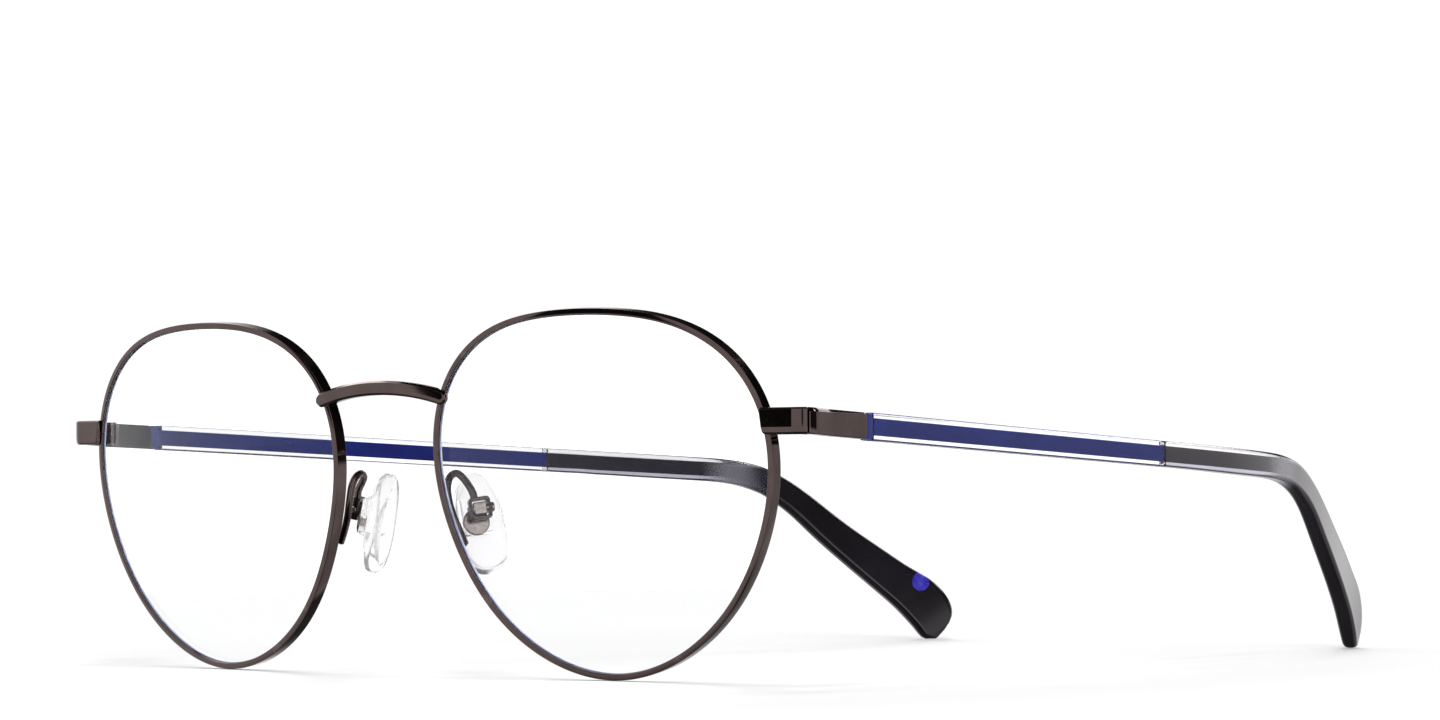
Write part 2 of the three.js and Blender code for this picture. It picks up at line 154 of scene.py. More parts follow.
def skin(rings, closed=False, caps=True):
    """Quads between rings (k, m, 3) of equal count."""
    rings = np.asarray(rings)
    k, m = rings.shape[:2]
    faces = []
    for i in range(k if closed else k - 1):
        j = (i + 1) % k
        for a in range(m):
            b = (a + 1) % m
            faces.append((i * m + a, i * m + b, j * m + b, j * m + a))
    if caps and not closed:
        faces.append(tuple(range(m)))
        faces.append(tuple((k - 1) * m + a for a in range(m))[::-1])
    return rings.reshape(-1, 3), faces


def join_parts(*parts):
    V, F, n = [], [], 0
    for v, f in parts:
        V.append(np.asarray(v))
        F += [tuple(i + n for i in q) for q in f]
        n += len(v)
    return np.concatenate(V), F


def to_mesh(name, verts, faces, mirror=False, angle=32.0):
    P = np.array(verts, float).reshape(-1, 3)
    if mirror:
        P[:, 0] *= -1
    P = (P + [0, SHIFT_Y, 0]) * 1e-3
    me = bpy.data.meshes.new(name)
    me.from_pydata([tuple(p) for p in P], [], faces)
    me.validate()
    bm = bmesh.new()
    bm.from_mesh(me)
    bmesh.ops.recalc_face_normals(bm, faces=bm.faces)
    bm.to_mesh(me)
    bm.free()
    me.polygons.foreach_set("use_smooth", [True] * len(me.polygons))
    me.set_sharp_from_angle(angle=angle * RAD)
    me.update()
    return me


def piece(name, verts, faces, mat, body, slot, nodes, mirror=False, angle=32.0, weighted=True, subsurf=0):
    me = to_mesh(name, verts, faces, mirror, angle)
    ob = bpy.data.objects.new(name, me)
    bpy.context.scene.collection.objects.link(ob)
    for m in mat if isinstance(mat, (list, tuple)) else [mat]:
        me.materials.append(m)
    if subsurf:
        s = ob.modifiers.new("Subdivision", "SUBSURF")
        s.levels = s.render_levels = subsurf
    if weighted:
        w = ob.modifiers.new("WeightedNormal", "WEIGHTED_NORMAL")
        w.keep_sharp = True
        w.weight = 60
    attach(ob, body)
    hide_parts(*nodes)
    return ob


def pair(name, verts, faces, mat, body, slot, node, **kw):
    out = []
    for side, mirror in (("left", False), ("right", True)):
        b = body if body == "front" else body + "_" + side
        out.append(piece(f"{name}_{side}", verts, faces, mat, b, slot, [f"{node}_{side}"], mirror=mirror, **kw))
    return out


def cut(verts, faces, *cutters):
    """Solid minus cutters, by exact booleans; everything in millimetres."""
    def obj(v, f):
        me = bpy.data.meshes.new("tmp")
        me.from_pydata([tuple(p) for p in np.asarray(v)], [], f)
        bm = bmesh.new(); bm.from_mesh(me)
        bmesh.ops.recalc_face_normals(bm, faces=bm.faces)
        bm.to_mesh(me); bm.free()
        o = bpy.data.objects.new("tmp", me)
        bpy.context.scene.collection.objects.link(o)
        return o
    base = obj(verts, faces)
    made = [base]
    for v, f, op in cutters:
        c = obj(v, f)
        made.append(c)
        m = base.modifiers.new("b", "BOOLEAN")
        m.object, m.operation, m.solver = c, op, "EXACT"
    dg = bpy.context.evaluated_depsgraph_get()
    res = bpy.data.meshes.new_from_object(base.evaluated_get(dg), depsgraph=dg)
    V = np.array([v.co[:] for v in res.vertices])
    F = [tuple(p.vertices) for p in res.polygons]
    for o in made:
        me = o.data
        bpy.data.objects.remove(o)
        bpy.data.meshes.remove(me)
    bpy.data.meshes.remove(res)
    return V, F


def box_part(o, A, B, C, a, b, c, r=0.0, n=3):
    """Box with rounded long edges along C, filleted at both ends."""
    sec = lambda i: rrect(2 * (a - i), 2 * (b - i), max(r - i, 0.02) if r else 0.02, n)
    rings = []
    e = min(r, c * 0.9) if r else 0.0
    levels = [(-c, e)] if e == 0 else [(-c + e * (1 - math.cos(t)), e * (1 - math.sin(t))) for t in np.linspace(0, math.pi / 2, n + 1)]
    for z, i in levels + [(-z, i) for z, i in levels[::-1]]:
        s = sec(i)
        rings.append(np.array(o) + s[:, :1] * A + s[:, 1:] * B + z * np.array(C))
    return skin(rings)


def lathe_part(o, axis, ref, profile, n=40, close=True):
    """Closed profile [(radius, along), ...] from axis to axis, turned about axis."""
    A = unit(axis)
    B = unit(np.asarray(ref, float) - (np.asarray(ref, float) @ A) * A)
    C = np.cross(A, B)
    t = np.linspace(0, 2 * math.pi, n, endpoint=False)
    ringdir = np.cos(t)[:, None] * B + np.sin(t)[:, None] * C
    rings = [np.array(o) + r * ringdir + l * A for r, l in profile if r > 1e-6]
    return skin(rings)


def bar(ring, L, er, steps, n=5):
    """ring(s, inset) from s=0 to L with both ends filleted by er."""
    t = np.linspace(0, math.pi / 2, n + 1)
    head = [(er * (1 - math.cos(x)), er * (1 - math.sin(x))) for x in t]
    mids = [(s, 0.0) for s in steps if er + 1e-3 < s < L - er - 1e-3]
    tail = [(L - s, i) for s, i in head[::-1]]
    return [ring(s, i) for s, i in head + mids + tail]


def spline(x, y):
    """Natural cubic spline through (x, y), returned as a function."""
    x, y = np.asarray(x, float), np.asarray(y, float)
    n = len(x)
    h = np.diff(x)
    M = np.zeros((n, n)); b = np.zeros(n)
    M[0, 0] = M[-1, -1] = 1
    for i in range(1, n - 1):
        M[i, i - 1], M[i, i], M[i, i + 1] = h[i - 1], 2 * (h[i - 1] + h[i]), h[i]
        b[i] = 6 * ((y[i + 1] - y[i]) / h[i] - (y[i] - y[i - 1]) / h[i - 1])
    m = np.linalg.solve(M, b)

    def f(q):
        i = int(np.clip(np.searchsorted(x, q) - 1, 0, n - 2))
        a, c = x[i + 1] - q, q - x[i]
        return (m[i] * a ** 3 + m[i + 1] * c ** 3) / (6 * h[i]) + (y[i] / h[i] - m[i] * h[i] / 6) * a + (y[i + 1] / h[i] - m[i + 1] * h[i] / 6) * c
    return f


# ------------------------------------------------------------------ materials
def lin(r, g, b):
    f = lambda c: (c / 255) / 12.92 if c / 255 <= 0.04045 else ((c / 255 + 0.055) / 1.055) ** 2.4
    return (f(r), f(g), f(b), 1.0)


class Mat:
    """A Principled material with a few shortcuts for its nodes."""

    def __init__(self, name, **inputs):
        self.m = bpy.data.materials.new(name)
        self.m.use_nodes = True
        self.nt = self.m.node_tree
        self.nt.nodes.clear()
        self.out = self.nt.nodes.new("ShaderNodeOutputMaterial")
        self.b = self.nt.nodes.new("ShaderNodeBsdfPrincipled")
        self.nt.links.new(self.b.outputs[0], self.out.inputs[0])
        for k, v in inputs.items():
            self.b.inputs[k.replace("_", " ")].default_value = v
        self.coord = self.nt.nodes.new("ShaderNodeTexCoord").outputs["Object"]

    def node(self, kind, **props):
        n = self.nt.nodes.new(kind)
        for k, v in props.items():
            setattr(n, k, v)
        return n

    def link(self, a, b):
        self.nt.links.new(a, b)

    def noise(self, scale, detail=3.0, rough=0.55, stretch=(1, 1, 1), offset=(0, 0, 0)):
        mp = self.node("ShaderNodeMapping")
        mp.inputs["Scale"].default_value = stretch
        mp.inputs["Location"].default_value = offset
        self.link(self.coord, mp.inputs[0])
        n = self.node("ShaderNodeTexNoise")
        n.inputs["Scale"].default_value = scale
        n.inputs["Detail"].default_value = detail
        n.inputs["Roughness"].default_value = rough
        self.link(mp.outputs[0], n.inputs["Vector"])
        return n.outputs[0]

    def remap(self, value, a, b, lo, hi, smooth=True):
        n = self.node("ShaderNodeMapRange")
        n.interpolation_type = "SMOOTHSTEP" if smooth else "LINEAR"
        n.inputs["From Min"].default_value, n.inputs["From Max"].default_value = a, b
        n.inputs["To Min"].default_value, n.inputs["To Max"].default_value = lo, hi
        self.link(value, n.inputs["Value"])
        return n.outputs[0]

    def mix(self, fac, a, b):
        n = self.node("ShaderNodeMix")
        n.data_type = "RGBA"
        for s, v in ((n.inputs[6], a), (n.inputs[7], b)):
            if isinstance(v, tuple):
                s.default_value = v
            else:
                self.link(v, s)
        self.link(fac, n.inputs[0])
        return n.outputs[2]

    def math(self, op, a, b):
        n = self.node("ShaderNodeMath")
        n.operation = op
        for s, v in ((n.inputs[0], a), (n.inputs[1], b)):
            if isinstance(v, (int, float)):
                s.default_value = v
            else:
                self.link(v, s)
        return n.outputs[0]

    def axis(self, which):
        s = self.node("ShaderNodeSeparateXYZ")
        self.link(self.coord, s.inputs[0])
        return s.outputs["XYZ".index(which)]

    def pointiness(self):
        return self.node("ShaderNodeNewGeometry").outputs["Pointiness"]

    def bump(self, height, distance, strength=1.0):
        n = self.node("ShaderNodeBump")
        n.inputs["Strength"].default_value = strength
        n.inputs["Distance"].default_value = distance
        self.link(height, n.inputs["Height"])
        self.link(n.outputs[0], self.b.inputs["Normal"])

    def let_light_through(self, tint=(1, 1, 1, 1), coated=0.0, ior=1.5):
        """Shadow rays pass, so that clear parts don't cast a solid shadow; coated is the share of surface glare taken away."""
        lp = self.node("ShaderNodeLightPath")
        surface = self.b.outputs[0]
        if coated:
            rf = self.node("ShaderNodeBsdfRefraction")
            rf.inputs["IOR"].default_value = ior
            rf.inputs["Roughness"].default_value = 0.0
            rf.inputs["Color"].default_value = (0.985, 0.985, 0.99, 1)
            m0 = self.node("ShaderNodeMixShader")
            m0.inputs[0].default_value = coated
            self.link(surface, m0.inputs[1])
            self.link(rf.outputs[0], m0.inputs[2])
            surface = m0.outputs[0]
        tr = self.node("ShaderNodeBsdfTransparent")
        tr.inputs[0].default_value = tint
        mx = self.node("ShaderNodeMixShader")
        self.link(lp.outputs["Is Shadow Ray"], mx.inputs[0])
        self.link(surface, mx.inputs[1])
        self.link(tr.outputs[0], mx.inputs[2])
        self.link(mx.outputs[0], self.out.inputs[0])


def gunmetal(name, base=(88, 76, 74), rough=(0.05, 0.085), wear=0.35):
    k = Mat(name, Metallic=1.0)
    b = lin(*base)
    lo = tuple(c * 0.93 for c in b[:3]) + (1,)
    hi = tuple(min(1, c * 1.08) for c in b[:3]) + (1,)
    n = k.noise(320, 4)
    col = k.mix(k.remap(n, 0.35, 0.65, 0, 1), lo, hi)
    edge = k.remap(k.pointiness(), 0.53, 0.62, 0, wear)
    col = k.mix(edge, col, tuple(min(1, c * 1.9) for c in b[:3]) + (1,))
    k.link(col, k.b.inputs["Base Color"])
    k.link(k.remap(k.noise(700, 3), 0.3, 0.7, rough[0], rough[1]), k.b.inputs["Roughness"])
    k.bump(k.noise(1400, 2), 2.0e-7, 0.6)
    return k.m


def steel(name):
    k = Mat(name, Metallic=1.0)
    col = k.mix(k.remap(k.noise(900, 3, stretch=(1, 1, 5)), 0.3, 0.7, 0, 1), lin(136, 128, 123), lin(156, 147, 142))
    k.link(col, k.b.inputs["Base Color"])
    k.link(k.remap(k.noise(900, 3), 0.3, 0.7, 0.18, 0.26), k.b.inputs["Roughness"])
    k.bump(k.noise(3000, 2, stretch=(1, 1, 6)), 3e-7, 0.6)
    return k.m


def lens_glass():
    k = Mat("lens_glass", Roughness=0.0, IOR=1.5, Transmission_Weight=1.0)
    k.b.inputs["Specular IOR Level"].default_value = 0.2
    k.b.inputs["Specular Tint"].default_value = (0.30, 0.33, 0.42, 1)
    col = k.mix(k.remap(k.noise(60, 2), 0.3, 0.7, 0, 1), (0.985, 0.99, 1.0, 1), (0.997, 0.998, 1.0, 1))
    k.link(col, k.b.inputs["Base Color"])
    k.let_light_through(coated=0.32)
    return k.m


def lens_edge():
    k = Mat("lens_edge_bevel", Roughness=0.25, IOR=1.5, Transmission_Weight=0.35)
    col = k.mix(k.remap(k.noise(900, 3), 0.3, 0.7, 0, 1), lin(120, 132, 190), lin(165, 176, 215))
    k.link(col, k.b.inputs["Base Color"])
    k.bump(k.noise(6000, 2), 2e-6)
    return k.m


def blue_core():
    """Blue lacquer on the flat strip, bare darkened steel where it runs on inside the tip."""
    k = Mat("blue_lacquered_core", IOR=1.5)
    k.b.inputs["Specular IOR Level"].default_value = 0.12
    y = k.axis("Y")
    bare = k.remap(y, (81.1 + SHIFT_Y) / 1000, (81.25 + SHIFT_Y) / 1000, 0, 1)
    blue = k.mix(k.remap(k.noise(260, 4, stretch=(1, 0.25, 1)), 0.3, 0.7, 0, 1), lin(16, 27, 98), lin(23, 36, 112))
    collar = k.remap(y, (17.66 + SHIFT_Y) / 1000, (17.56 + SHIFT_Y) / 1000, 0, 1)
    blue = k.mix(collar, blue, lin(50, 58, 122))
    grey = k.mix(k.remap(k.noise(300, 3, stretch=(1, 0.15, 1)), 0.3, 0.7, 0, 1), lin(34, 29, 35), lin(44, 38, 45))
    k.link(k.mix(bare, blue, grey), k.b.inputs["Base Color"])
    k.link(k.remap(bare, 0, 1, 0.0, 0.25, False), k.b.inputs["Metallic"])
    k.link(k.remap(k.noise(600, 3), 0.3, 0.7, 0.3, 0.38), k.b.inputs["Roughness"])
    k.bump(k.noise(900, 2, stretch=(1, 0.1, 1)), 3e-7, 0.5)
    return k.m


def clear_plastic():
    k = Mat("clear_sleeve_plastic", IOR=1.49, Transmission_Weight=1.0)
    k.b.inputs["Specular Tint"].default_value = (0.6, 0.6, 0.62, 1)
    col = k.mix(k.remap(k.noise(90, 2), 0.3, 0.7, 0, 1), (0.965, 0.967, 0.975, 1), (0.99, 0.99, 0.995, 1))
    k.link(col, k.b.inputs["Base Color"])
    k.link(k.remap(k.noise(120, 2), 0.35, 0.75, 0.0, 0.012), k.b.inputs["Roughness"])
    k.let_light_through((0.97, 0.97, 0.98, 1), coated=0.35, ior=1.49)
    return k.m


def tip_plastic():
    """Clear where the core ends, dyed black further down the ear hook; the upper part gets a painted pale top (painted
    light) and its black starts later there.
    """
    k = Mat("tip_dyed_plastic", IOR=1.5)
    k.b.inputs["Specular Tint"].default_value = (1.0, 0.92, 0.98, 1)
    y = k.axis("Y")
    wob = k.math("ADD", y, k.math("MULTIPLY", k.math("SUBTRACT", k.noise(160, 3), 0.5), 0.004))
    centre = k.math("SUBTRACT", (29.4 + 0.0485 * (16.64 + SHIFT_Y)) / 1000, k.math("MULTIPLY", y, 0.0485))
    # painted light: mask of the upper part of the tip, which is given a paler colour and a later black to stand in for
    # light falling on its top
    painted_top_light_mask = k.remap(k.math("SUBTRACT", k.axis("Z"), centre), 0.0003, 0.0013, 0, 1)
    deep = k.remap(wob, (107.5 + SHIFT_Y) / 1000, (118.0 + SHIFT_Y) / 1000, 0, 1)
    late = k.remap(wob, (115.5 + SHIFT_Y) / 1000, (124.5 + SHIFT_Y) / 1000, 0, 1)
    # black dye along the hook, plus painted light: on the upper part the black starts later, so the painted pale top
    # runs further
    dye_and_painted_top_light = k.math("ADD", k.math("MULTIPLY", deep, k.math("SUBTRACT", 1.0, painted_top_light_mask)), k.math("MULTIPLY", late, painted_top_light_mask))
    cloud = k.remap(k.noise(160, 3), 0.3, 0.7, 0, 1)
    low = k.mix(cloud, (0.43, 0.41, 0.49, 1), (0.5, 0.475, 0.56, 1))
    # painted highlight: the pale colour of the upper part stands in for light on the top; low is the smoke tint of the
    # rest
    high = k.mix(cloud, (0.86, 0.85, 0.88, 1), (0.93, 0.925, 0.94, 1))
    smoke_and_painted_top_light = k.mix(painted_top_light_mask, low, high)
    black = k.mix(k.remap(k.noise(70, 3), 0.3, 0.7, 0, 1), lin(14, 12, 15), lin(24, 21, 26))
    k.link(k.mix(dye_and_painted_top_light, smoke_and_painted_top_light, black), k.b.inputs["Base Color"])
    k.link(k.remap(dye_and_painted_top_light, 0.0, 0.85, 1.0, 0.0, False), k.b.inputs["Transmission Weight"])
    k.link(k.remap(dye_and_painted_top_light, 0.0, 1.0, 0.02, 0.16), k.b.inputs["Roughness"])
    k.bump(k.noise(400, 2), 8e-7, 0.5)
    k.let_light_through((0.4, 0.4, 0.42, 1))
    return k.m


def inlay_plastic():
    k = Mat("inlay_blue", IOR=1.5, Coat_Weight=0.4, Coat_Roughness=0.08)
    col = k.mix(k.remap(k.noise(700, 4), 0.3, 0.7, 0, 1), lin(38, 32, 150), lin(70, 62, 186))
    k.link(col, k.b.inputs["Base Color"])
    k.link(k.remap(k.noise(1500, 4), 0.35, 0.75, 0.2, 0.35), k.b.inputs["Roughness"])
    return k.m


def silicone():
    k = Mat("pad_silicone", IOR=1.30, Transmission_Weight=0.93)
    col = k.mix(k.remap(k.noise(200, 3), 0.3, 0.7, 0, 1), (0.965, 0.96, 0.965, 1), (0.99, 0.985, 0.99, 1))
    k.link(col, k.b.inputs["Base Color"])
    k.link(k.remap(k.noise(300, 3), 0.35, 0.75, 0.14, 0.22), k.b.inputs["Roughness"])
    k.bump(k.noise(500, 2), 2e-6, 0.4)
    k.let_light_through((0.96, 0.96, 0.97, 1))
    return k.m


M_GUN = gunmetal("gunmetal_polished")
M_GUN_FINE = gunmetal("gunmetal_small_parts", (80, 70, 69), (0.12, 0.2), 0.25)
M_STEEL = steel("screw_steel_brushed")
M_INSERT = steel("insert_steel")
M_LENS, M_LENS_EDGE = lens_glass(), lens_edge()
M_CORE, M_CLEAR, M_TIP, M_INLAY, M_PAD = blue_core(), clear_plastic(), tip_plastic(), inlay_plastic(), silicone()

# ------------------------------------------------------------------ rims: grooved wire bent round the lens, open at the lock
w2 = RIM_W / 2
rim_section = rounded(
    [(-w2, 0.03), (w2 - 0.02, 0.0), (w2 + 0.0, 0.06), (w2, RIM_D - 0.04), (w2 - 0.06, RIM_D), (-w2, RIM_D), (-w2, 1.04), (-w2 + 0.24, 0.72), (-w2, 0.40)],
    [0.13, 0.14, 0.05, 0.05, 0.12, 0.10, 0.03, 0.03, 0.03], 4)
grid = np.linspace(0.2, 0.8, 4001)
u_, v_ = outline(grid, np.zeros_like(grid))
f_split = float(grid[np.argmin(np.abs(place(u_, v_, 0.7)[:, 2] - SPLIT_Z))])
gap = 0.075 / 24.0
ff = np.linspace(f_split + gap, f_split - gap + 2 * math.pi, 421)
rim_rings = []
for f in ff:
    e, d = rim_section[:, 0], rim_section[:, 1]
    u, v = outline(np.full(len(e), f), e)
    rim_rings.append(place(u, v, d))
rv, rf = skin(rim_rings)
pair("rim_wire", rv, rf, M_GUN, "front", "gunmetal", "rim", angle=40)

# ------------------------------------------------------------------ lenses: two curved faces and a bevelled edge
NL = 300
f = np.linspace(0, 2 * math.pi, NL, endpoint=False)
edge = np.full(NL, -w2 - 0.06)
ue, ve = outline(f, edge)
ub, vb = outline(f, np.full(NL, -w2 + 0.13))
tt = [0.04, 0.12, 0.22, 0.33, 0.44, 0.55, 0.66, 0.76, 0.85, 0.92, 0.97, 1.0]
front = [place(ue * t, ve * t, 0.42) for t in tt]
back = [place(ue * t, ve * t, 0.42 + LENS_T) for t in tt[::-1]]
tip_ring = [place(ub, vb, 0.72)]
under = [place(ue, ve, 1.02)]
lv, lf = skin(front + tip_ring + under + back)
pair_l = pair("lens_glass", lv, lf, [M_LENS, M_LENS_EDGE], "front", "lens", "lens", angle=28, weighted=False)
k0 = (len(tt) - 1) * NL
for ob in pair_l:
    for p in ob.data.polygons:
        ring = min(v // NL for v in p.vertices)
        if len(p.vertices) == 4 and len(tt) - 1 <= ring <= len(tt) + 1:
            p.material_index = 1

# ------------------------------------------------------------------ bridge: curved bar with bevelled edges and round lapped ends
X1 = 11.35


def bridge_ring(x):
    y = -1.5 + 0.0032 * x * x
    z = 34.66 - 0.01123 * x * x - 7.8e-6 * x ** 4
    T = unit([1, 0.0064 * x, -0.02246 * x - 3.1e-5 * x ** 3])
    B = unit(np.array([0, 1, 0]) - T[1] * T)
    A = -np.cross(T, B)
    A = A if A[2] > 0 else -A
    e = max(0.0, abs(x) - (X1 - 0.88)) / 0.88
    s = math.sqrt(max(1e-4, 1 - e * e))
    h = 1.76 * s
    depth = 1.24 - 0.62 * min(1, max(0, (abs(x) - 8.9) / 1.1)) ** 1.5
    rim = min(0.24, 0.45 * h)
    front_in = 0.18 * (1 - s)
    c = min(0.26, 0.3 * h)
    pts = [(-h / 2, front_in + c), (-h / 2 + c, front_in + 0.035), (-h / 2 + 0.36 * h, front_in), (h / 2 - c, front_in), (h / 2, front_in + c), (h / 2, depth - 0.12), (h / 2 - 0.1 * s, depth), (-h / 2 + 0.1 * s, depth), (-h / 2, depth - 0.12)]
    sec = rounded(pts, [0.07 * s, 0.08 * s, 0.5 * s, 0.08 * s, 0.07 * s, 0.05 * s, 0.05 * s, 0.05 * s, 0.05 * s], 3)
    return np.array([x, y, z]) + sec[:, :1] * A + sec[:, 1:] * B


xs = np.concatenate([X1 - 0.88 * (1 - np.sin(np.linspace(math.pi / 2, 0.0, 9)))])
ends = [X1 - 0.88 + 0.88 * math.sin(t) for t in np.linspace(0, math.pi / 2 * 0.985, 12)]
mid = list(np.linspace(-(X1 - 0.88), X1 - 0.88, 91))
allx = [-x for x in ends[::-1]][:-1] + mid + ends[1:]
bv, bf = skin([bridge_ring(x) for x in allx])
piece("bridge_bar", bv, bf, M_GUN, "front", "gunmetal", ["bridge"], angle=40)

# ------------------------------------------------------------------ endpieces: front leg and rounded corner
EP_A, EP_L, EP_R, SEAM = 7.8, 4.30, 2.29, 61.0
EP_S = np.array([57.91, 3.56])
epF = EP_S + EP_L * np.array([math.cos(EP_A * RAD), math.sin(EP_A * RAD)])
epPoint = lambda a: epF + EP_R * np.array([math.sin(a * RAD) - math.sin(EP_A * RAD), math.cos(EP_A * RAD) - math.cos(a * RAD)])
LC = EP_R * (SEAM - 2.2 - EP_A) * RAD
EPL = EP_L + LC


def face_section(h, t, top, bottom, inner, inset, crown=0.05, n=3):
    """Upright bar section: x up, y inwards from the outer face; bevels at the outer top and bottom edges."""
    h2, i = h / 2 - inset, inset
    top, bottom, inner = max(0.02, top - 0.4 * i), max(0.02, bottom - 0.4 * i), max(0.02, inner - 0.5 * i)
    pts = [(-h2, i + bottom), (-h2 + bottom, i + crown), (-h2 + 0.27 * h, i), (h2 - top, i), (h2, i + top), (h2, t - i - inner), (h2 - inner, t - i), (-h2 + inner, t - i), (-h2, t - i - inner)]
    rad_ = [0.14, 0.14, 1.2, 0.12, 0.12, 0.05, 0.05, 0.05, 0.05]
    return rounded(pts, [r * (1 if inset == 0 else 0.6) for r in rad_], n)


def ep_ring(s, inset):
    if s <= EP_L:
        p, a = EP_S + s * np.array([math.cos(EP_A * RAD), math.sin(EP_A * RAD)]), EP_A
        tilt = 0.0
    else:
        a = EP_A + (s - EP_L) / EP_R / RAD
        p, tilt = epPoint(a), 0.0
    sec = face_section(EP_H, EP_T, 0.2, 0.26, 0.15, inset, 0.06)
    o = np.array([p[0], p[1], SPLIT_Z])
    A = np.array([0, -tilt, 1.0])
    B = np.array([-math.sin(a * RAD), math.cos(a * RAD), 0])
    T = np.array([math.cos(a * RAD), math.sin(a * RAD), 0])
    slant = np.clip(1 - s / 1.6, 0, 1)
    low = np.clip((-sec[:, :1] - 0.95) / 0.6, 0, 1)
    back = -0.148 * sec[:, :1] * slant + 0.28 * low ** 2 * np.clip(1 - s / 0.6, 0, 1)
    return o + sec[:, :1] * A + sec[:, 1:] * B + back * T


ep_steps = list(np.linspace(0.2, EP_L - 0.15, 12)) + list(np.linspace(EP_L, EPL - 0.12, 22))
ev, ef = skin(bar(ep_ring, EPL, 0.1, ep_steps, 4))
pair("endpiece_corner", ev, ef, M_GUN, "front", "gunmetal", "endpiece", angle=40)

# ------------------------------------------------------------------ temple metal: curved front end and flat plate
a0 = SEAM + 2.2
LP1 = EP_R * (90 + math.degrees(math.atan(0.1162)) - a0) * RAD
pEnd = epPoint(90 + math.degrees(math.atan(0.1162)))
y_join = pEnd[1]
LP = LP1 + (16.55 - y_join) / math.cos(math.atan(0.1162))


def plate_ring(s, inset):
    if s <= LP1:
        a = a0 + s / EP_R / RAD
        p = epPoint(a)
        z = midZ(p[1]) + 0.02
    else:
        y = y_join + (s - LP1) * math.cos(math.atan(0.1162))
        w = min(1, (s - LP1) / 3)
        p = np.array([lineX(y) * w + (pEnd[0] + (lineX(y) - lineX(y_join))) * (1 - w), y])
        a = lineDir(y) / RAD
        z = midZ(y) + 0.02 * (1 - w)
    k = s / LP
    end = max(0.0, (s - (LP - 0.45)) / 0.45)
    h = TEMPLE_H - 0.5 * (1 - math.sqrt(max(0, 1 - end * end))) * 0.9
    sec = face_section(h, PLATE_T, 0.5 - 0.3 * k, 0.14, 0.12, inset, 0.03)
    o = np.array([p[0], p[1], z])
    B = np.array([-math.sin(a * RAD), math.cos(a * RAD), 0])
    return o + sec[:, :1] * np.array([0, 0, 1.0]) + sec[:, 1:] * B


p_steps = list(np.linspace(0.1, LP1, 12)) + list(np.linspace(LP1 + 0.3, LP - 0.5, 22)) + list(LP - 0.45 + 0.45 * np.sin(np.linspace(0, 1.2, 6)))
pv, pf = skin(bar(plate_ring, LP, 0.12, p_steps, 4))
pair("temple_metal", pv, pf, M_GUN, "temple", "gunmetal", "temple_plate", angle=40)


# ------------------------------------------------------------------ core, clear sleeve, tip
def line_frame(y, off=0.0):
    a = lineDir(y)
    B = np.array([-math.sin(a), math.cos(a), 0.0])
    return np.array([lineX(y), y, midZ(y)]) + off * B, np.array([0, 0, 1.0]), B


def line_bar(y0, y1, w, t, r, centre, er, ys, n=5, hole=None):
    def ring(s, i):
        o, A, B = line_frame(y0 + s, centre)
        q = rrect(w - 2 * i, t - 2 * i, max(r - i, 0.03), n)
        return o + q[:, :1] * A + q[:, 1:] * B
    rings = bar(ring, y1 - y0, er, [y - y0 for y in ys], 4)
    if hole is None:
        return skin(rings)
    hw, ht, hr = hole

    def inner(y):
        o, A, B = line_frame(y, centre)
        q = rrect(hw, ht, hr, n)
        return o + q[:, :1] * A + q[:, 1:] * B
    rings = rings + [inner(y) for y in [y1] + list(ys)[::-1] + [y0]]
    return skin(rings, closed=True)


shoulder = line_bar(16.64, 17.62, TEMPLE_H, PLATE_T, 0.28, PLATE_T / 2, 0.14, [16.9, 17.3], 5)
strip = line_bar(17.3, 116.5, CORE_H, CORE_T, 0.16, SLEEVE_T / 2, 0.1, list(np.linspace(20, 81, 14)) + list(np.linspace(82, 116, 40)), 4)
cv, cf = join_parts(shoulder, strip)
pair("lacquered_core", cv, cf, M_CORE, "temple", "blue_core", "temple_core", angle=40)

sv, sf = line_bar(17.72, 81.12, SLEEVE_H, SLEEVE_T, 0.34, SLEEVE_T / 2, 0.14, list(np.linspace(19, 80, 12)), 6, hole=(CORE_H - 0.02, CORE_T - 0.02, 0.15))
pair("clear_sleeve", sv, sf, M_CLEAR, "temple", "clear_sleeve", "temple_sleeve", angle=40)

tipPairs = [
    [81.26, 24.67, 81.26, 27.87, 2.0], [90, 24.22, 90, 27.47, 2.05], [99, 23.72, 99, 27.02, 2.1], [107, 23.3, 107.2, 26.6, 2.15],
    [112.6, 22.85, 113.6, 26.12, 2.2], [116.6, 22.0, 118.9, 25.05, 2.25], [120.2, 20.55, 123.1, 23.2, 2.3], [123.6, 18.35, 126.9, 20.75, 2.35],
    [127.0, 15.4, 130.6, 18.0, 2.4], [130.6, 12.35, 134.6, 15.2, 2.45], [134.0, 9.55, 138.5, 12.6, 2.45], [137.2, 6.9, 142.0, 10.3, 2.45],
    [139.8, 4.6, 144.9, 8.5, 2.45], [141.6, 2.7, 146.8, 6.5, 2.4], [142.7, 1.4, 147.6, 5.0, 2.3], [143.4, 0.5, 147.8, 3.8, 2.15],
    [144.1, 0.0, 147.5, 2.6, 1.95], [144.8, 0.0, 146.7, 1.3, 1.6], [145.4, 0.0, 145.8, 0.35, 1.2]]
T_ = np.array(tipPairs)
mids = np.stack([(T_[:, 0] + T_[:, 2]) / 2, (T_[:, 1] + T_[:, 3]) / 2], 1)
arc = np.concatenate([[0], np.cumsum(np.linalg.norm(np.diff(mids, axis=0), axis=1))])
fits = [spline(arc, T_[:, j]) for j in range(5)]


